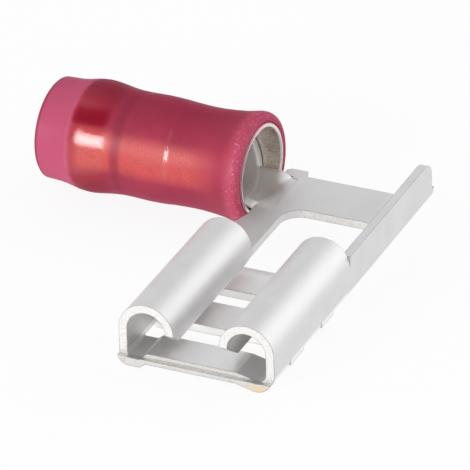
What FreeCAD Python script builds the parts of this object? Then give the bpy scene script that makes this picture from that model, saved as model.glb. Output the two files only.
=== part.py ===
import FreeCAD, Part
import math
import os

# Push-on flag terminal: a tab receptacle with its insulated wire barrel at a right angle.
# Millimetres. X runs across the tab slot, Y from the slot's mouth to the rear, Z up.
# The origin is the middle of the tab at the slot's mouth. The wire enters along +X.

# The tab that the slot takes
tab_width = 6.35
tab_thickness = 0.81
tab_side_room = 0.175

# The sheet and its folds
sheet = 0.40
bend_radius = 0.80
left_bend_radius = 0.55
corner_drop = 0.22
left_channel = 0.52
left_step_run = 0.30
right_channel = 0.05
right_step_run = 0.95
curl_radius = 1.33
curl_tip_gap = 0.30
curl_tip_angle = 38.0
curl_length = 8.60
lead_in_length = 1.10

# The ladder floor, from the mouth to the rear
lip_reach = 0.25
lip_rise = 0.43
lip_depth = 1.80
slot_one = 1.45
rung_one = 2.06
slot_two = 1.30
rung_two = 2.12
window_length = 5.90
window_corner = 1.00
window_small_corner = 0.30
plate_depth = 2.98
strip_width = 1.80
rail_ledge = 0.35
wall_foot = 0.42

# The strip's outer edge, the ear behind it and the tall flange on the right
strip_inset = 0.02
strip_taper = 1.00
strip_nose = 0.31
nose_length = 1.05
front_relief = 0.12
rear_relief = 0.05
ear_start = 0.36
ear_width = 1.18
ear_reach = 0.49
ear_chamfer = 0.18
flange_height = 2.12
flange_overhang = 0.74
flange_corner = 0.75
stub_reach = 0.24
stub_rise = 0.86

# The neck and the rolled wire barrel
neck_root_front = 1.28
neck_root_rear = 1.60
neck_rolled_front = 1.57
neck_rolled_rear = 1.84
neck_inset = 0.25
neck_drop = 0.43
dish_start = 1.20
dish_length = 1.22
curl_up_front = 0.50
curl_up_rear = 0.90
curl_up_length = 0.74
neck_end = 1.20
neck_lap = 0.10
neck_thinning = 0.03
barrel_radius = 1.87
barrel_length = 4.60
barrel_recess = 1.13
barrel_slant = 15.5
seam_gap = 0.10
seam_angle = 62.0

# The barrel and its sleeves stand a little off the square: their mouth looks down the slot by the first
# angle and up by the second.
barrel_yaw = 3.0
barrel_pitch = 1.0

# The metal sleeve round the barrel, with a flared mouth. Its far end is belled: each place is a share of
# the bell's length and of its rise.
mouth_inset = 0.10
sleeve_wall = 0.28
sleeve_length = 8.90
rim_chamfer = 0.08
flare_rise = 0.11
flare_length = 1.30
bell_rise = 0.20
bell_length = 2.20
bell_shape = ((0.0, 0.0), (0.62, 1.0), (0.86, 1.0), (1.0, 0.75))

# The nylon sleeve: distance from the metal sleeve's mouth, and thickness over the metal sleeve's outside
nylon_setback = 0.06
nylon_length = 10.83
nylon_outline = ((0.30, 0.53), (0.95, 0.46), (1.75, 0.34), (2.80, 0.275), (4.00, 0.32), (5.30, 0.38),
                 (6.55, 0.35), (7.40, 0.41), (8.45, 0.55), (9.10, 0.49), (9.75, 0.355), (10.30, 0.31))
nylon_tail_rise = 0.295
tail_wall = 0.34
tail_taper = 0.60
nylon_edge = 0.11
lip_round = 0.24
tail_chamfer = 0.07
lip_inner_back = 0.044

V = FreeCAD.Vector

# Levels and lines that follow from the sizes above
half_inside = tab_width / 2 + tab_side_room
half_outside = half_inside + sheet
floor_top = -tab_thickness / 2
floor_bottom = floor_top - sheet
corner_bottom = floor_bottom - corner_drop
bend_top = corner_bottom + bend_radius
left_bend_top = corner_bottom + left_bend_radius
curl_centre_x = half_outside - curl_radius
curl_centre_z = floor_top + curl_tip_gap + curl_radius * math.sin(math.radians(curl_tip_angle))
slot_one_start = lip_depth
slot_two_start = slot_one_start + slot_one + rung_one
window_start = slot_two_start + slot_two + rung_two
window_end = window_start + window_length
plate_end = window_end + plate_depth
flange_end = plate_end + flange_overhang
flange_top = floor_bottom + flange_height
barrel_inside = barrel_radius - sheet
axis_y = plate_end - neck_inset - neck_root_rear
axis_z = floor_bottom - neck_drop + barrel_radius
mouth_x = -half_outside + mouth_inset
plate_left = -half_outside + strip_inset
dish_x = -half_outside + dish_start
curl_front_x = -half_outside + curl_up_front
curl_rear_x = -half_outside + curl_up_rear
mouth_centre = V(mouth_x, axis_y, axis_z)
barrel_turn = FreeCAD.Placement(V(0, 0, 0),
                                FreeCAD.Rotation(V(0, 0, 1), -barrel_yaw).multiply(
                                    FreeCAD.Rotation(V(0, 1, 0), -barrel_pitch)),
                                mouth_centre)

# How far cutters run past the metal, and the distance below which two points are one
past = 1.0
hair = 1e-4

# The neck's surfaces pass through this many steps of points, along it and across it
neck_rows = 24
neck_columns = 16


def arc_xz(centre_x, centre_z, radius, start, end):
    """Arc in the XZ plane at Y = 0, with its angles in degrees from +X towards +Z."""
    def at(angle):
        turn = math.radians(angle)
        return V(centre_x + radius * math.cos(turn), 0, centre_z + radius * math.sin(turn))
    return Part.Arc(at(start), at((start + end) / 2), at(end)).toShape()


def chain(edges):
    """Join a run of arcs, given as edges, with straight lines where their ends lie apart."""
    joined = []
    for edge in edges:
        if joined:
            gap_from = joined[-1].valueAt(joined[-1].LastParameter)
            gap_to = edge.valueAt(edge.FirstParameter)
            if gap_from.distanceToPoint(gap_to) > hair:
                joined.append(Part.makeLine(gap_from, gap_to))
        joined.append(edge)
    return joined


def face_between(outer, inner):
    """Face of sheet between two edge runs that start at the same end of the sheet."""
    first = Part.makeLine(outer[0].valueAt(outer[0].FirstParameter),
                          inner[0].valueAt(inner[0].FirstParameter))
    last = Part.makeLine(outer[-1].valueAt(outer[-1].LastParameter),
                         inner[-1].valueAt(inner[-1].LastParameter))
    return Part.Face(Part.Wire(Part.__sortEdges__(outer + inner + [first, last])))


def box(x0, x1, y0, y1, z0, z1):
    return Part.makeBox(x1 - x0, y1 - y0, z1 - z0, V(x0, y0, z0))


def floor_lines(level, with_left_step):
    """Edges of one side of the floor, from left to right, with the steps down to its corners."""
    right_low = half_outside - bend_radius - right_channel
    right_high = right_low - right_step_run
    left_low = -half_outside + left_bend_radius + left_channel
    left_high = left_low + left_step_run
    lines = [Part.makeLine(V(right_high, 0, floor_bottom + level), V(right_low, 0, corner_bottom + level))]
    if with_left_step:
        lines.insert(0, Part.makeLine(V(left_low, 0, corner_bottom + level),
                                      V(left_high, 0, floor_bottom + level)))
    return lines


def receptacle_side(inset):
    """One surface of the folded receptacle, from the left curl's tip round to the right curl's tip."""
    tip = -curl_tip_angle
    run = [arc_xz(-curl_centre_x, curl_centre_z, curl_radius - inset, tip, 180),
           arc_xz(-half_outside + left_bend_radius, left_bend_top, left_bend_radius - inset, 180, 270)]
    run += floor_lines(inset, True)
    run += [arc_xz(half_outside - bend_radius, bend_top, bend_radius - inset, -90, 0),
            arc_xz(curl_centre_x, curl_centre_z, curl_radius - inset, 0, 180 - tip)]
    return chain(run)


def lead_in_cutter(side):
    """Wedge that trims a curl's tip at the mouth, so that the tab finds its way in."""
    tip_z = floor_top + curl_tip_gap
    slope = (curl_centre_z - tip_z) / lead_in_length
    low = tip_z - curl_tip_gap / 2
    corners = [V(0, -past, curl_centre_z + slope * past),
               V(0, (curl_centre_z - low) / slope, low),
               V(0, -past, low)]
    wedge = Part.Face(Part.makePolygon(corners + corners[:1])).extrude(V(curl_radius + sheet, 0, 0))
    if side < 0:
        wedge.translate(V(-curl_centre_x, 0, 0))
    else:
        wedge.translate(V(curl_centre_x - curl_radius - sheet, 0, 0))
    return wedge


def receptacle():
    """Floor, side walls and the two inward curls that press on the tab."""
    face = face_between(receptacle_side(0), receptacle_side(sheet))
    body = face.extrude(V(0, curl_length, 0))
    body = body.cut([lead_in_cutter(-1), lead_in_cutter(1)])
    lip = face.extrude(V(0, -lip_reach, 0))
    reach = half_outside + past
    lip = lip.common(box(-reach, reach, -lip_reach, 0, corner_bottom - past, corner_bottom + lip_rise))
    return body.fuse(lip)


def rear_frame():
    """Strip, rear plate and tall flange behind the receptacle, as one bent angle cut to its outline."""
    def side(inset):
        edge_left = Part.makeLine(V(plate_left, 0, floor_bottom + inset),
                                  V(plate_left + past, 0, floor_bottom + inset))
        bend = arc_xz(half_outside - bend_radius, bend_top, bend_radius - inset, -90, 0)
        wall = Part.makeLine(V(half_outside - inset, 0, bend_top), V(half_outside - inset, 0, flange_top))
        return chain([edge_left] + floor_lines(inset, False) + [bend, wall])

    face = face_between(side(0), side(sheet))
    face.translate(V(0, curl_length, 0))
    angle = face.extrude(V(0, flange_end + stub_reach - curl_length, 0))
    return angle.common([plan_outline().common(flange_outline())])


def plan_outline():
    """Upright prism of the rear frame seen from above, before the window is cut."""
    neck_front = axis_y - neck_root_front
    neck_rear = axis_y + neck_root_rear
    nose_x = plate_left + strip_nose
    nose_y = neck_front - front_relief
    ear_left = -half_outside + ear_start
    ear_right = ear_left + ear_width
    rail_x = half_outside - bend_radius
    points = [(plate_left, curl_length),
              (plate_left, nose_y - nose_length - strip_taper),
              (nose_x, nose_y - nose_length),
              (nose_x, nose_y),
              (curl_front_x, nose_y),
              (curl_front_x, neck_front + neck_lap),
              (dish_x, neck_front + neck_lap),
              (dish_x, neck_rear - neck_lap),
              (curl_rear_x, neck_rear - neck_lap),
              (curl_rear_x, neck_rear + rear_relief),
              (ear_left, neck_rear + rear_relief),
              (ear_left, plate_end + ear_reach - ear_chamfer),
              (ear_left + ear_chamfer, plate_end + ear_reach),
              (ear_right - ear_chamfer, plate_end + ear_reach),
              (ear_right, plate_end),
              (rail_x, plate_end),
              (rail_x, flange_end + stub_reach),
              (half_outside + past, flange_end + stub_reach),
              (half_outside + past, curl_length)]
    wire = Part.makePolygon([V(x, y, corner_bottom - past) for x, y in points + points[:1]])
    return Part.Face(wire).extrude(V(0, 0, flange_top - corner_bottom + 2 * past))


def flange_outline():
    """Side view of the flange: a rounded upper corner and the stub left where it was cut off."""
    stub_top = corner_bottom + stub_rise
    round_centre_y = flange_end - flange_corner
    round_centre_z = flange_top - flange_corner
    half_turn = flange_corner * math.sqrt(0.5)
    bottom = corner_bottom - past
    corner = Part.Arc(V(0, flange_end, round_centre_z),
                      V(0, round_centre_y + half_turn, round_centre_z + half_turn),
                      V(0, round_centre_y, flange_top)).toShape()
    points = [V(0, round_centre_y, flange_top), V(0, curl_length - past, flange_top),
              V(0, curl_length - past, bottom), V(0, flange_end + stub_reach, bottom),
              V(0, flange_end + stub_reach, stub_top), V(0, flange_end, stub_top),
              V(0, flange_end, round_centre_z)]
    lines = [Part.makeLine(a, b) for a, b in zip(points, points[1:])]
    prism = Part.Face(Part.Wire([corner] + lines)).extrude(V(2 * half_outside + 2 * past, 0, 0))
    prism.translate(V(-half_outside - past, 0, 0))
    return prism


def floor_slot_cutters():
    """The two cross slots of the ladder floor. They run into the bends on both sides."""
    reach = half_outside + past
    return [box(-reach, reach, start, start + length, corner_bottom - past, bend_top)
            for start, length in ((slot_one_start, slot_one), (slot_two_start, slot_two))]


def wall_feet():
    """Where a slot takes the bend away, the wall's lower edge stays straight as a small foot."""
    feet = []
    for start, length in ((slot_one_start, slot_one), (slot_two_start, slot_two)):
        for side in (-1, 1):
            x0, x1 = sorted((side * half_inside, side * half_outside))
            feet.append(box(x0, x1, start, start + length, corner_bottom + wall_foot, bend_top))
    return feet


def window_cutter():
    """The large opening between the last rung and the rear plate, with its rounded corners."""
    left = -half_outside + strip_inset + strip_width
    right = half_outside - bend_radius - rail_ledge
    block = box(left, right, window_start, window_end, corner_bottom - past, bend_top)
    corners = [(left, window_end, window_corner)]
    corners += [(x, y, window_small_corner)
                for x, y in ((left, window_start), (right, window_start), (right, window_end))]
    for x, y, radius in corners:
        block = block.makeFillet(radius, [e for e in block.Edges if is_upright_at(e, x, y)])
    return block


def is_upright_at(edge, x, y):
    middle = edge.CenterOfMass
    return abs(middle.x - x) < hair and abs(middle.y - y) < hair


def eased(share):
    """Goes from 0 to 1 by two parabolas that meet halfway."""
    share = min(max(share, 0.0), 1.0)
    if share < 0.5:
        return 2 * share * share
    return 1 - 2 * (1 - share) ** 2


def neck_middle(x, across):
    """Middle of the sheet at x. across goes from -1 at the neck's front edge to 1 at its rear edge."""
    start = curl_front_x + (curl_rear_x - curl_front_x) * (across + 1) / 2
    rolled = eased((start - x) / curl_up_length)
    front = neck_root_front + (neck_rolled_front - neck_root_front) * rolled
    rear = neck_root_rear + (neck_rolled_rear - neck_root_rear) * rolled
    reach = -front + (front + rear) * (across + 1) / 2
    flat_level = floor_bottom + sheet / 2
    dish = neck_drop * eased((dish_x - x) / dish_length)
    flat = V(x, axis_y + reach, flat_level - dish * (1 - across ** 2) ** 2)
    radius = barrel_radius - sheet / 2
    turn = reach / radius
    bent = V(x, axis_y + radius * math.sin(turn), flat_level - dish + radius * (1 - math.cos(turn)))
    return flat + (barrel_turn.multVec(bent) - flat) * rolled


def neck_surface(offset):
    """One surface of the neck, at that distance above the middle of its sheet."""
    first, last = dish_x + neck_lap, mouth_x - neck_end
    step = 1e-3
    rows = []
    for i in range(neck_rows + 1):
        x = first + (last - first) * i / neck_rows
        row = []
        for j in range(neck_columns + 1):
            across = -1 + 2 * j / neck_columns
            along_x = neck_middle(x + step, across) - neck_middle(x - step, across)
            along_y = neck_middle(x, across + step) - neck_middle(x, across - step)
            row.append(neck_middle(x, across) + along_x.cross(along_y).normalize() * offset)
        rows.append(row)
    surface = Part.BSplineSurface()
    surface.interpolate(rows)
    return surface


def neck():
    """Sheet between the flat plate and the barrel: a dish whose sides curl up as it goes into the sleeve.
    It is thinner than the plate by a hair, so that its margins lie inside the plate and the barrel."""
    half = (sheet - neck_thinning) / 2
    upper, lower = neck_surface(half), neck_surface(-half)
    faces = [upper.toShape(), lower.toShape()]
    for side in range(4):
        edges = []
        for surface in (upper, lower):
            u0, u1, v0, v1 = surface.bounds()
            curve = (surface.uIso(u0), surface.uIso(u1), surface.vIso(v0), surface.vIso(v1))[side]
            edges.append(curve.toShape())
        faces.append(Part.makeRuledSurface(*edges))
    shell = Part.makeShell(faces)
    shell.sewShape()
    solid = Part.makeSolid(Part.Shell(shell.Faces))
    if solid.Volume < 0:
        solid.reverse()
    return solid


def wire_barrel():
    """The rolled barrel, with a slanted front edge and its butt seam left open by a hair."""
    front = mouth_x - barrel_recess
    rear = front - barrel_length
    reach = barrel_radius + past
    axis = V(1, 0, 0)
    start = V(rear, axis_y, axis_z)
    tube = Part.makeCylinder(barrel_radius, barrel_length + reach, start, axis)
    tube = tube.cut(Part.makeCylinder(barrel_inside, barrel_length + reach, start, axis))
    ahead = box(front, front + 2 * reach, axis_y - reach, axis_y + reach,
                axis_z - 2 * reach, axis_z + 2 * reach)
    ahead.rotate(V(front, axis_y, axis_z), V(0, 1, 0), -barrel_slant)
    seam = box(rear - past, front + reach, axis_y, axis_y + reach,
               axis_z - seam_gap / 2, axis_z + seam_gap / 2)
    seam.rotate(V(0, axis_y, axis_z), axis, seam_angle)
    return off_the_square(tube.cut([ahead, seam]))


def off_the_square(shape):
    """Turn a shape that was made parallel to X by the barrel's two small angles."""
    return shape.transformed(barrel_turn.toMatrix())


def terminal_stamping():
    metal = receptacle().fuse([rear_frame(), neck(), wire_barrel()])
    metal = metal.cut(floor_slot_cutters() + [window_cutter()])
    return metal.fuse(wall_feet()).removeSplitter()


def along_barrel(distance, radius):
    """Point of a turned profile: distance back from the sleeve's mouth, and radius."""
    return V(mouth_x - distance, axis_y, axis_z + radius)


def spline_through(pairs):
    curve = Part.BSplineCurve()
    curve.interpolate([along_barrel(d, r) for d, r in pairs])
    return curve.toShape()


def line_between(a, b):
    return Part.makeLine(along_barrel(*a), along_barrel(*b))


def lines_through(pairs):
    return [line_between(a, b) for a, b in zip(pairs, pairs[1:])]


def metal_sleeve_line(radius):
    """One of the metal sleeve's two surfaces, from its flared mouth to its belled end."""
    bell_start = sleeve_length - bell_length
    mouth = [(rim_chamfer, radius + flare_rise), (flare_length, radius)]
    return mouth + [(bell_start + along * bell_length, radius + up * bell_rise) for along, up in bell_shape]


def turned_solid(edges):
    face = Part.Face(Part.Wire(Part.__sortEdges__(edges)))
    return off_the_square(face.revolve(V(0, axis_y, axis_z), V(1, 0, 0), 360))


def support_sleeve():
    """Drawn metal tube that lines the nylon, with its flared mouth and its belled end."""
    outer = metal_sleeve_line(barrel_radius + sleeve_wall)
    inner = metal_sleeve_line(barrel_radius)
    rim = [(0, inner[0][1] + rim_chamfer), (0, outer[0][1] - rim_chamfer)]
    return turned_solid(lines_through(outer + inner[::-1] + rim + outer[:1]))


def insulating_sleeve():
    """Nylon tube with a flared mouth, a waist behind it and a bulge over the metal sleeve's bell."""
    inside = barrel_radius + sleeve_wall
    metal = metal_sleeve_line(inside)
    outline = [(distance, inside + rise) for distance, rise in nylon_outline]
    first_radius = outline[0][1]
    lip_start = (nylon_setback + nylon_edge, first_radius - nylon_edge / 2)
    tail_outside = inside + nylon_tail_rise
    tail_end = (nylon_length - tail_chamfer, tail_outside)
    tail_inside = tail_outside - tail_wall
    tail = [tail_end, (nylon_length, tail_outside - tail_chamfer), (nylon_length, tail_inside),
            (sleeve_length + tail_taper, tail_inside)]
    lip_end = (nylon_setback + lip_inner_back, metal[0][1])
    lip = Part.Arc(along_barrel(*lip_start), along_barrel(nylon_setback, first_radius - lip_round),
                   along_barrel(*lip_end)).toShape()
    return turned_solid([lip, spline_through([lip_start] + outline + [tail_end])]
                        + lines_through(tail + metal[::-1] + [lip_end]))


os.makedirs("parts", exist_ok=True)
for name, make in (("terminal_stamping", terminal_stamping),
                   ("support_sleeve", support_sleeve),
                   ("insulating_sleeve", insulating_sleeve)):
    solid = make()
    print(name, "solids", len(solid.Solids), "valid", solid.isValid(), "volume", round(solid.Volume, 3))
    solid.exportStep("parts/" + name + ".step")
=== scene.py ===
import bpy
from mathutils import Matrix, Vector

MM = 0.001

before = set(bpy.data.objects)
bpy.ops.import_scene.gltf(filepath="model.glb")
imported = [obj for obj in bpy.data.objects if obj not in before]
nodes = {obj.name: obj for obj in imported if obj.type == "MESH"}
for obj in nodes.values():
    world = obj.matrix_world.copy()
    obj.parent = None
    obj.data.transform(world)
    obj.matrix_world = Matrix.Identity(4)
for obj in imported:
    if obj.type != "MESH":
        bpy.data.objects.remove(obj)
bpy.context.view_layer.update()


# Node trees

# The sockets of a Mix node that is set to colours
MIX_SHARE, MIX_FIRST, MIX_SECOND, MIX_RESULT = 0, 6, 7, 2


class Tree:
    """A node tree that is written as calls: most of them add a node and return its output."""

    def __init__(self, owner):
        owner.use_nodes = True
        self.nodes = owner.node_tree.nodes
        self.links = owner.node_tree.links
        self.nodes.clear()

    def put(self, node, key, value):
        """Set an input, or link it where the value is the output of another node."""
        if isinstance(value, bpy.types.NodeSocket):
            self.links.new(value, node.inputs[key])
        else:
            node.inputs[key].default_value = value

    def add(self, kind, settings=None, **inputs):
        """Add a node and return it."""
        node = self.nodes.new(kind)
        for key, value in (settings or {}).items():
            setattr(node, key, value)
        for key, value in inputs.items():
            self.put(node, key, value)
        return node

    def math(self, operation, *values):
        node = self.add("ShaderNodeMath", {"operation": operation})
        for key, value in enumerate(values):
            self.put(node, key, value)
        return node.outputs[0]

    def product(self, first, *others):
        for other in others:
            first = self.math("MULTIPLY", first, other)
        return first

    def vector_math(self, operation, *values, result="Vector"):
        node = self.add("ShaderNodeVectorMath", {"operation": operation})
        for key, value in enumerate(values):
            self.put(node, key, value)
        return node.outputs[result]

    def dot(self, first, second):
        return self.vector_math("DOT_PRODUCT", first, second, result="Value")

    def parts(self, vector):
        """The x, y and z of a vector."""
        return self.add("ShaderNodeSeparateXYZ", Vector=vector).outputs[:]

    def ramp(self, value, low, high, at_low=0.0, at_high=1.0):
        """A smooth step from at_low, where the value is low, to at_high, where it is high."""
        node = self.add("ShaderNodeMapRange", {"interpolation_type": "SMOOTHSTEP"}, Value=value)
        for key, number in (("From Min", low), ("From Max", high),
                            ("To Min", at_low), ("To Max", at_high)):
            self.put(node, key, number)
        return node.outputs["Result"]

    def band(self, value, rise, fall):
        """1 between a smooth rise and a smooth fall, and 0 outside them."""
        return self.product(self.ramp(value, *rise), self.ramp(value, *fall))

    def mix(self, share, first, second):
        """The first colour where share is 0, and the second where it is 1."""
        node = self.add("ShaderNodeMix", {"data_type": "RGBA"})
        for key, value in ((MIX_SHARE, share), (MIX_FIRST, first), (MIX_SECOND, second)):
            self.put(node, key, value)
        return node.outputs[MIX_RESULT]

    def noise(self, place, scale, detail, roughness=0.55):
        return self.add("ShaderNodeTexNoise", Vector=place, Scale=scale, Detail=detail,
                        Roughness=roughness).outputs["Fac"]

    def stretched(self, place, scale):
        return self.add("ShaderNodeMapping", Vector=place, Scale=scale).outputs[0]


def new_material(name):
    material = bpy.data.materials.new(name)
    tree = Tree(material)
    shader = tree.add("ShaderNodeBsdfPrincipled")
    tree.add("ShaderNodeOutputMaterial", Surface=shader.outputs[0])
    return material, tree, shader


# Places on the part, in millimetres

# The middle of the barrel's mouth, and the way in along its axis
MOUTH = Vector((-3.65, 15.76, 0.635))
INWARD = Vector((-0.998478, 0.052328, -0.017452))
# The barrel's side that faces the front softbox, and the one a little lower where the painted
# glow of its reflection lies
FRONT_SIDE = Vector((-0.0547, -0.9027, 0.4232))
GLOW_SIDE = Vector((-0.0550, -0.9688, 0.2414))


def surface_place(tree):
    scaled = tree.add("ShaderNodeVectorMath", {"operation": "SCALE"}, Scale=1 / MM)
    tree.put(scaled, 0, tree.add("ShaderNodeTexCoord").outputs["Object"])
    return scaled.outputs[0]


def surface_normal(tree):
    return tree.add("ShaderNodeNewGeometry").outputs["Normal"]


def barrel_place(tree, place):
    """The depth behind the mouth, the distance from the axis, and the way from the mouth."""
    from_mouth = tree.vector_math("SUBTRACT", place, MOUTH)
    across = tree.vector_math("CROSS_PRODUCT", from_mouth, INWARD)
    radius = tree.vector_math("LENGTH", across, result="Value")
    return tree.dot(from_mouth, INWARD), radius, from_mouth


BEVEL_SAMPLES = 8
# Cosine of the turn that the rounding gives the normal, from a flat face to an edge
EDGE_TURN = (0.99, 0.88)


def soft_edges(tree, shader, height, strength, distance, radius):
    """Bump over edges rounded by a hair. Returns how near a sharp edge is, from 0 to 1."""
    bevel = tree.add("ShaderNodeBevel", {"samples": BEVEL_SAMPLES}, Radius=radius).outputs[0]
    bump = tree.add("ShaderNodeBump", Strength=strength, Distance=distance, Height=height,
                    Normal=bevel)
    tree.put(shader, "Normal", bump.outputs[0])
    return tree.ramp(tree.dot(bevel, surface_normal(tree)), *EDGE_TURN)


# The looks below are ramps over a place or a noise. Each is written as the value with no
# effect and the value with the full one, and where it isn't 0 to 1, the result at each.
# A band is the pair of its rise and its fall.

# Tin plate

TIN_MOTTLE = (0.30, 0.75)
TIN_DULL = (0.69, 0.68, 0.675, 1)
TIN_BRIGHT = (0.73, 0.72, 0.72, 1)
TIN_ROUGHNESS = (0.2, 0.8, 0.50, 0.57)
TIN_GRAIN_STRETCH = (14.0, 1.2, 14.0)
TIN_GRAIN_ROUGHENS = 0.06
TIN_GRAIN_HEIGHT = 0.6
TIN_FINE_HEIGHT = 0.4
TIN_BUMP = 0.30
TIN_BUMP_DEPTH = 0.006 * MM

# Cut faces of the sheet: those that face the front or the rear
CUT_FACING = (0.86, 0.96)
CUT_SHARE = 0.9
CUT_ROUGHENS = 0.10
CUT_STRETCH = (1.0, 1.0, 1.6)
CUT_TEARS = (0.50, 0.62, 0.0, 0.6)
CUT_SMOOTH = (0.80, 0.785, 0.77, 1)
CUT_TORN = (0.56, 0.53, 0.50, 1)

# Painted light: the ladder floor is made lighter than the rest, to make up for the shade under
# the curls
LADDER_Y = (8.7, 8.2)
LADDER_Z = (-0.30, -0.40)
LADDER_LIGHTENED_TIN = (0.86, 0.85, 0.84, 1)

# The face of the front lip, darker than the rest: painted shade, over the torn texture of its
# cut face
LIP_FACE_Y = (0.15, -0.05)
LIP_FACE_Z = (-0.30, -0.45)
LIP_FACE_SHARE = 0.75
LIP_FACE_SHADED_SMOOTH = (0.60, 0.58, 0.56, 1)
LIP_FACE_SHADED_TORN = (0.38, 0.35, 0.32, 1)

# Bare brass on the lip's right corner
BARE_X = (2.2, 3.0)
BARE_Y = (-0.15, -0.24)
BARE_Z = (-0.62, -0.80)
BARE_PATCHES = (0.30, 0.60, 0.5, 0.95)
BARE_BRASS = (0.74, 0.61, 0.38, 1)

# The end of the dish and the bore behind it, lighter because they lie in shade
DISH_DEPTH = (-1.6, -0.4)
DISH_RADIUS = (2.1, 1.7)
DISH_TIN = (0.88, 0.86, 0.85, 1)

# The bore and the neck are formed smooth: their edges are rounder than others and not darkened
BORE_DEPTH = (-0.6, -0.2)
BORE_RADIUS = (1.75, 1.60)
NECK_DEPTH = ((-2.0, -1.7), (0.2, -0.1))
NECK_Y = ((13.9, 14.1), (16.9, 16.6))
EDGE_RADIUS = (0.0, 1.0, 0.06 * MM, 0.25 * MM)
# Darker patches along sharp edges
DARK_EDGE_PATCHES = (0.35, 0.60, 0.50, 0.95)
DARK_EDGE_TIN = (0.26, 0.23, 0.20, 1)


def tin_material():
    material, tree, shader = new_material("tin_plate")
    place = surface_place(tree)
    x, y, z = tree.parts(place)
    depth, radius, _ = barrel_place(tree, place)
    mottle = tree.noise(place, scale=0.9, detail=4.0)
    fine = tree.noise(place, scale=16.0, detail=2.0)
    grain = tree.noise(tree.stretched(place, TIN_GRAIN_STRETCH),
                       scale=1.0, detail=4.0, roughness=0.7)
    torn = tree.noise(tree.stretched(place, CUT_STRETCH), scale=6.0, detail=5.0, roughness=0.8)
    torn = tree.ramp(torn, *CUT_TEARS)
    facing = tree.math("ABSOLUTE", tree.parts(surface_normal(tree))[1])
    cut = tree.ramp(facing, *CUT_FACING)

    colour = tree.mix(tree.ramp(mottle, *TIN_MOTTLE), TIN_DULL, TIN_BRIGHT)
    colour = tree.mix(tree.product(cut, CUT_SHARE), colour, tree.mix(torn, CUT_SMOOTH, CUT_TORN))
    # Painted light on the ladder floor, which lies in the shade of the curls
    lightened_ladder = tree.product(tree.ramp(z, *LADDER_Z), tree.ramp(y, *LADDER_Y))
    colour = tree.mix(lightened_ladder, colour, LADDER_LIGHTENED_TIN)
    # Painted shade on the face of the front lip
    lip_face_shade = tree.product(tree.ramp(z, *LIP_FACE_Z), tree.ramp(y, *LIP_FACE_Y), LIP_FACE_SHARE)
    colour = tree.mix(lip_face_shade, colour, tree.mix(torn, LIP_FACE_SHADED_SMOOTH, LIP_FACE_SHADED_TORN))
    bare = tree.product(tree.ramp(x, *BARE_X), tree.ramp(z, *BARE_Z), tree.ramp(y, *BARE_Y),
                        tree.ramp(fine, *BARE_PATCHES))
    colour = tree.mix(bare, colour, BARE_BRASS)
    dish = tree.product(tree.ramp(depth, *DISH_DEPTH), tree.ramp(radius, *DISH_RADIUS))
    colour = tree.mix(dish, colour, DISH_TIN)

    shader.inputs["Metallic"].default_value = 1.0
    rough = tree.math("ADD", tree.ramp(mottle, *TIN_ROUGHNESS),
                      tree.product(grain, TIN_GRAIN_ROUGHENS))
    rough = tree.math("ADD", rough, tree.product(cut, CUT_ROUGHENS))
    tree.put(shader, "Roughness", rough)

    bore = tree.product(tree.ramp(depth, *BORE_DEPTH), tree.ramp(radius, *BORE_RADIUS))
    neck = tree.product(tree.band(depth, *NECK_DEPTH), tree.band(y, *NECK_Y))
    smooth = tree.math("MAXIMUM", bore, neck)
    height = tree.math("ADD", tree.product(grain, TIN_GRAIN_HEIGHT),
                       tree.product(fine, TIN_FINE_HEIGHT))
    edge = soft_edges(tree, shader, height, TIN_BUMP, TIN_BUMP_DEPTH,
                      tree.ramp(smooth, *EDGE_RADIUS))
    # Darker in patches along sharp edges, but not on the bore and the neck
    dark_edge = tree.product(edge, tree.ramp(fine, *DARK_EDGE_PATCHES), tree.math("SUBTRACT", 1.0, smooth))
    tree.put(shader, "Base Color", tree.mix(dark_edge, colour, DARK_EDGE_TIN))
    return material


# Drawn sleeve metal

RIM_MOTTLE = (0.3, 0.7)
RIM_DULL = (0.80, 0.78, 0.75, 1)
RIM_BRIGHT = (0.88, 0.87, 0.85, 1)
# Painted reflection: the rim's outer edge is tinted with the nylon's colour
RIM_EDGE_RADIUS = (2.13, 2.19)
RIM_EDGE_NYLON_REFLECTION = (0.50, 0.16, 0.24, 1)

INSIDE_DEPTH = (0.05, 0.13)
INSIDE_STREAKS = (0.3, 0.7)
INSIDE_DULL = (0.70, 0.61, 0.53, 1)
INSIDE_BRIGHT = (0.92, 0.84, 0.76, 1)
INSIDE_GRAIN = (0.50, 0.62, 0.0, 0.6)
INSIDE_GRAIN_DARK = (0.52, 0.43, 0.36, 1)

# The outside, which shows through the nylon
OUTSIDE_DEPTH = ((0.25, 0.45), (8.84, 8.78))
OUTSIDE_RADIUS = (2.02, 2.08)
OUTSIDE_FLECKS = (0.42, 0.58)
OUTSIDE_DULL = (0.76, 0.44, 0.18, 1)
OUTSIDE_BRIGHT = (1.0, 0.84, 0.44, 1)

DRAWN_STRETCH = (1.6, 16.0, 16.0)
DRAWN_ROUGHNESS = (0.25, 0.75, 0.32, 0.44)
DRAWN_BUMP = 0.5
DRAWN_BUMP_DEPTH = 0.010 * MM
DRAWN_EDGE_RADIUS = 0.03 * MM


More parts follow.
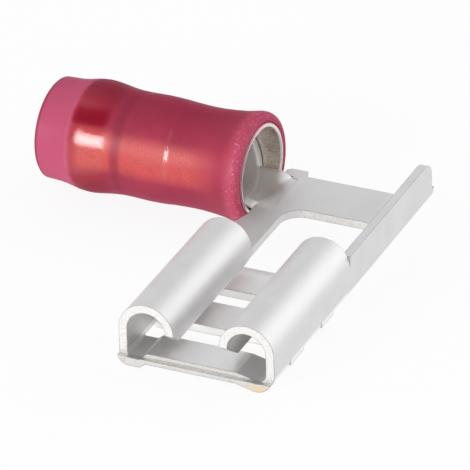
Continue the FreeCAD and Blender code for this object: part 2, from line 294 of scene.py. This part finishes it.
def sleeve_metal_material():
    material, tree, shader = new_material("drawn_sleeve_metal")
    place = surface_place(tree)
    depth, radius, _ = barrel_place(tree, place)
    drawn = tree.noise(tree.stretched(place, DRAWN_STRETCH),
                       scale=1.0, detail=4.0, roughness=0.75)
    mottle = tree.noise(place, scale=2.2, detail=4.0)
    grain = tree.noise(place, scale=9.0, detail=3.0, roughness=0.7)
    flecks = tree.noise(place, scale=13.0, detail=3.0, roughness=0.7)

    inside = tree.mix(tree.ramp(drawn, *INSIDE_STREAKS), INSIDE_DULL, INSIDE_BRIGHT)
    inside = tree.mix(tree.ramp(grain, *INSIDE_GRAIN), inside, INSIDE_GRAIN_DARK)
    rim = tree.mix(tree.ramp(mottle, *RIM_MOTTLE), RIM_DULL, RIM_BRIGHT)
    # Painted reflection of the nylon on the rim's outer edge
    rim = tree.mix(tree.ramp(radius, *RIM_EDGE_RADIUS), rim, RIM_EDGE_NYLON_REFLECTION)
    colour = tree.mix(tree.ramp(depth, *INSIDE_DEPTH), rim, inside)
    outside = tree.mix(tree.ramp(flecks, *OUTSIDE_FLECKS), OUTSIDE_DULL, OUTSIDE_BRIGHT)
    jacket = tree.product(tree.band(depth, *OUTSIDE_DEPTH), tree.ramp(radius, *OUTSIDE_RADIUS))
    tree.put(shader, "Base Color", tree.mix(jacket, colour, outside))

    shader.inputs["Metallic"].default_value = 1.0
    tree.put(shader, "Roughness", tree.ramp(drawn, *DRAWN_ROUGHNESS))
    soft_edges(tree, shader, tree.math("ADD", drawn, grain), DRAWN_BUMP, DRAWN_BUMP_DEPTH,
               DRAWN_EDGE_RADIUS)
    return material


# Nylon. Depths run from the mouth to the tail, and heights from the axis to the front side.

# Painted light and shade: the side that faces the front softbox is lighter, the side away from
# it darker
LIT_SIDE_HEIGHT = (1.25, 2.35)
BODY_CLOUDS = (0.3, 0.7)
BODY_DARK = (0.50, 0.035, 0.090, 1)
BODY_LIGHT = (0.60, 0.045, 0.110, 1)
BODY_SHADED_SIDE = (0.47, 0.026, 0.088, 1)

# The frosted lip, with specks of painted glint
FROST_DEPTH = (1.1, 0.3)
FROST_VEIL = (0.74, 0.16, 0.26, 1)
FROST_VEIL_SHARE = 0.4
FROST_GLINT_SPECKS = (0.56, 0.70)
FROST_GLINT = (0.86, 0.42, 0.52, 1)

# The small ring ridge on the body
RIDGE_DEPTH = ((3.70, 3.90), (4.10, 3.90))
RIDGE_GLOSS_HEIGHT = (2.0, 2.3)

# Painted shade: a dark ring where the metal sleeve's bell begins
RING_DEPTH = ((6.15, 6.50), (6.95, 6.60))
RING_SHARE = 0.40
RING_SHADE = (0.34, 0.012, 0.045, 1)
RING_LEAVES_GLOW = (0.0, 1.0, 1.0, 0.45)

BULGE_DEPTH = ((6.8, 7.5), (9.3, 8.8))
BULGE_SHADED_SIDE = (0.40, 0.016, 0.056, 1)
BULGE_LIT_SIDE = (0.62, 0.026, 0.060, 1)
BULGE_GLOSS_HEIGHT = (1.8, 2.3)

# Painted shade: the dark band on the bulge above its gloss
CRIMSON_Z = ((1.88, 2.40), (3.05, 2.40))
CRIMSON_SHARE = 0.8
CRIMSON_SHADE = (0.34, 0.008, 0.034, 1)
CRIMSON_LEAVES_SHINE = (0.0, 1.0, 1.0, 0.25)

# Painted reflection: the warm glow of the front softbox in the metal below, painted into the
# nylon's colour. Its turn is the cosine of the angle to the glow's side.
GLOW_TURN = (0.88, 0.995)
GLOW_START = (0.8, 3.0)
GLOW_END = (8.9, 8.2, 0.0, 0.85)
GLOW_SHIMMER = (0.35, 0.62, 0.40, 0.85)
GLOW_WARM_REFLECTION = (0.95, 0.17, 0.115, 1)

TAIL_DEPTH = (8.80, 9.10)
TAIL_MILKY = (0.54, 0.085, 0.170, 1)
# Painted shade: the tail's end is darker, for the dark edge along its rim
TAIL_END_DEPTH = (10.62, 10.76)
TAIL_END_SHADE = (0.34, 0.03, 0.075, 1)

CLEARNESS = 0.50
TAIL_CLOUDS = 0.30
GLOW_CLOUDS = 0.15
LIP_CLOUDS = 0.2
NYLON_IOR = (0.8, 2.2, 1.18, 1.53)
NYLON_ROUGHNESS = (0.2, 0.8, 0.36, 0.44)
GLOSS_SMOOTHS = 0.31
NYLON_SPECULAR = (0.0, 1.0, 0.05, 0.85)
NYLON_FINE_HEIGHT = 0.5
NYLON_RIDGE_HEIGHT = 0.6
NYLON_BUMP = 0.5
NYLON_BUMP_DEPTH = 0.03 * MM


def nylon_material():
    material, tree, shader = new_material("red_nylon")
    place = surface_place(tree)
    z = tree.parts(place)[2]
    depth, radius, from_mouth = barrel_place(tree, place)
    front = tree.dot(from_mouth, FRONT_SIDE)
    glow_turn = tree.math("DIVIDE", tree.dot(from_mouth, GLOW_SIDE), radius)
    cloud = tree.noise(place, scale=0.7, detail=4.0)
    fine = tree.noise(place, scale=12.0, detail=3.0)
    speck = tree.noise(place, scale=8.0, detail=4.0, roughness=0.7)
    shimmer = tree.noise(place, scale=13.0, detail=4.0, roughness=0.75)

    lip = tree.ramp(depth, *FROST_DEPTH)
    frost_glints = tree.product(lip, tree.ramp(speck, *FROST_GLINT_SPECKS))
    ridge = tree.band(depth, *RIDGE_DEPTH)
    shade_ring = tree.band(depth, *RING_DEPTH)
    bulge = tree.band(depth, *BULGE_DEPTH)
    crimson_shade = tree.product(tree.band(z, *CRIMSON_Z), bulge)
    tail = tree.ramp(depth, *TAIL_DEPTH)
    glow = tree.product(tree.ramp(glow_turn, *GLOW_TURN), tree.ramp(shade_ring, *RING_LEAVES_GLOW),
                        tree.ramp(depth, *GLOW_START), tree.ramp(depth, *GLOW_END),
                        tree.ramp(shimmer, *GLOW_SHIMMER))

    # Painted light and shade: lighter towards the side that faces the front softbox
    facing = tree.ramp(front, *LIT_SIDE_HEIGHT)
    body = tree.mix(tree.ramp(cloud, *BODY_CLOUDS), BODY_DARK, BODY_LIGHT)
    body = tree.mix(facing, BODY_SHADED_SIDE, body)
    swollen = tree.mix(facing, BULGE_SHADED_SIDE, BULGE_LIT_SIDE)
    # Painted shade in the dark band on the bulge
    swollen = tree.mix(tree.product(crimson_shade, CRIMSON_SHARE), swollen, CRIMSON_SHADE)
    colour = tree.mix(bulge, body, swollen)
    # Painted reflection: the front softbox's warm glow in the metal below
    colour = tree.mix(glow, colour, GLOW_WARM_REFLECTION)
    # Painted shade in the ring
    colour = tree.mix(tree.product(shade_ring, RING_SHARE), colour, RING_SHADE)
    colour = tree.mix(tail, colour, TAIL_MILKY)
    # Painted shade at the tail's end
    colour = tree.mix(tree.ramp(depth, *TAIL_END_DEPTH), colour, TAIL_END_SHADE)
    colour = tree.mix(tree.product(lip, FROST_VEIL_SHARE), colour, FROST_VEIL)
    # Painted glints in the specks on the lip
    tree.put(shader, "Base Color", tree.mix(frost_glints, colour, FROST_GLINT))

    clear = CLEARNESS
    for place_mask, clouds in ((tail, TAIL_CLOUDS), (glow, GLOW_CLOUDS),
                               (tree.math("MAXIMUM", lip, frost_glints), LIP_CLOUDS)):
        clear = tree.math("SUBTRACT", clear, tree.product(place_mask, clouds))
    tree.put(shader, "Transmission Weight", clear)

    shine = tree.ramp(crimson_shade, *CRIMSON_LEAVES_SHINE)
    tree.put(shader, "IOR", tree.ramp(tree.product(front, shine), *NYLON_IOR))
    glossy = tree.math("MAXIMUM", tree.product(bulge, tree.ramp(front, *BULGE_GLOSS_HEIGHT)),
                       tree.product(ridge, tree.ramp(front, *RIDGE_GLOSS_HEIGHT)))
    glossy = tree.product(glossy, shine)
    rough = tree.math("SUBTRACT", tree.ramp(cloud, *NYLON_ROUGHNESS),
                      tree.product(glossy, GLOSS_SMOOTHS))
    tree.put(shader, "Roughness", rough)
    tree.put(shader, "Specular IOR Level", tree.ramp(glossy, *NYLON_SPECULAR))

    height = tree.math("ADD", tree.product(fine, NYLON_FINE_HEIGHT),
                       tree.product(ridge, NYLON_RIDGE_HEIGHT))
    bump = tree.add("ShaderNodeBump", Strength=NYLON_BUMP, Distance=NYLON_BUMP_DEPTH,
                    Height=height)
    tree.put(shader, "Normal", bump.outputs[0])
    return material


def dress(node, material):
    for slot in nodes[node].material_slots:
        slot.material = material


dress("terminal_stamping", tin_material())
dress("support_sleeve", sleeve_metal_material())
dress("insulating_sleeve", nylon_material())

# A hair of air between the metal sleeve and the nylon, so that the two don't share a surface
AIR_GAP = 0.035 * MM
air = nodes["support_sleeve"].modifiers.new("air", "DISPLACE")
air.mid_level = 0.0
air.strength = -AIR_GAP


# Floor: a hair under the three points on which the part comes to rest

FRONT_CORNER = Vector((2.9698, -0.25, -1.0248)) * MM
LIP_FOOT = Vector((-4.0869, 15.6481, -2.0696)) * MM
BULGE_FOOT = Vector((-12.0825, 16.0671, -2.2099)) * MM
FLOOR_DROP = 0.004 * MM
# In metres
FLOOR_HALF = 2.5
FLOOR_GREY = (0.9, 0.9, 0.9, 1)
FLOOR_WHITE = (1, 1, 1, 1)
# Mostly light of its own, so that it stays pale and takes only a faint shadow
FLOOR_GLOW_SHARE = 0.9


def floor_material():
    material = bpy.data.materials.new("pale_floor")
    tree = Tree(material)
    diffuse = tree.add("ShaderNodeBsdfDiffuse", Color=FLOOR_GREY)
    glow = tree.add("ShaderNodeEmission", Color=FLOOR_WHITE, Strength=1.0)
    mixed = tree.add("ShaderNodeMixShader")
    for key, value in enumerate((FLOOR_GLOW_SHARE, diffuse.outputs[0], glow.outputs[0])):
        tree.put(mixed, key, value)
    tree.add("ShaderNodeOutputMaterial", Surface=mixed.outputs[0])
    return material


def make_floor():
    across = (BULGE_FOOT - LIP_FOOT).normalized()
    up = across.cross(FRONT_CORNER - LIP_FOOT).normalized()
    along = across.cross(up)
    middle = FRONT_CORNER - up * FLOOR_DROP
    corners = [middle + across * a * FLOOR_HALF + along * b * FLOOR_HALF
               for a, b in ((-1, -1), (-1, 1), (1, 1), (1, -1))]
    mesh = bpy.data.meshes.new("floor")
    mesh.from_pydata(corners, [], [(0, 1, 2, 3)])
    mesh.materials.append(floor_material())
    floor = bpy.data.objects.new("floor", mesh)
    bpy.context.scene.collection.objects.link(floor)


make_floor()


# Light: a pale studio and two softboxes that face the part's middle, in metres and watts

CENTRE = Vector((-4.0, 9.0, 0.5)) * MM
SOFTBOX_DISTANCE = 0.30

SKY_BRIGHT = (0.98, 0.99, 1.0, 1)
SKY_DIM = (0.58, 0.59, 0.61, 1)
# Where the sky is dim: overhead by z, and in front by y
OVERHEAD_Z = (0.60, 0.90)
IN_FRONT_Y = (-0.2, -0.7)


def softbox(name, direction, width, height, power):
    data = bpy.data.lights.new(name, "AREA")
    data.shape = "RECTANGLE"
    data.size = width
    data.size_y = height
    data.energy = power
    lamp = bpy.data.objects.new(name, data)
    bpy.context.scene.collection.objects.link(lamp)
    direction = Vector(direction).normalized()
    lamp.location = CENTRE + direction * SOFTBOX_DISTANCE
    lamp.rotation_mode = "QUATERNION"
    lamp.rotation_quaternion = direction.to_track_quat("Z", "Y")


def make_world():
    world = bpy.data.worlds.new("studio")
    bpy.context.scene.world = world
    tree = Tree(world)
    _, y, z = tree.parts(tree.add("ShaderNodeTexCoord").outputs["Generated"])
    dim = tree.math("MAXIMUM", tree.ramp(z, *OVERHEAD_Z), tree.ramp(y, *IN_FRONT_Y))
    sky = tree.mix(dim, SKY_BRIGHT, SKY_DIM)
    back = tree.add("ShaderNodeBackground", Color=sky, Strength=1.0)
    tree.add("ShaderNodeOutputWorld", Surface=back.outputs[0])


softbox("softbox_right_rear", (0.53, 0.79, 0.30), width=0.32, height=0.26, power=0.24)
softbox("softbox_front_left", (-0.343, -0.893, 0.292), width=0.145, height=0.11, power=0.56)
make_world()


# Camera at the photograph's angle: its place and clip ends in metres, its lens in millimetres

CAMERA_PLACE = Vector((0.089926, -0.193366, 0.126051))
CAMERA_RIGHT = Vector((0.91443, 0.40431, -0.01859))
CAMERA_UP = Vector((-0.18346, 0.45501, 0.87138))
CAMERA_BACK = Vector((0.36077, -0.79341, 0.49025))
SENSOR_WIDTH = 36.0
LENS = 430.4
CLIP_START = 0.01
CLIP_END = 10.0


def make_camera():
    data = bpy.data.cameras.new("camera")
    data.sensor_width = SENSOR_WIDTH
    data.lens = LENS
    data.clip_start = CLIP_START
    data.clip_end = CLIP_END
    camera = bpy.data.objects.new("camera", data)
    bpy.context.scene.collection.objects.link(camera)
    turn = Matrix((CAMERA_RIGHT, CAMERA_UP, CAMERA_BACK)).transposed()
    camera.rotation_mode = "QUATERNION"
    camera.rotation_quaternion = turn.to_quaternion()
    camera.location = CAMERA_PLACE
    bpy.context.scene.camera = camera


make_camera()
bpy.context.scene.view_settings.view_transform = "Standard"
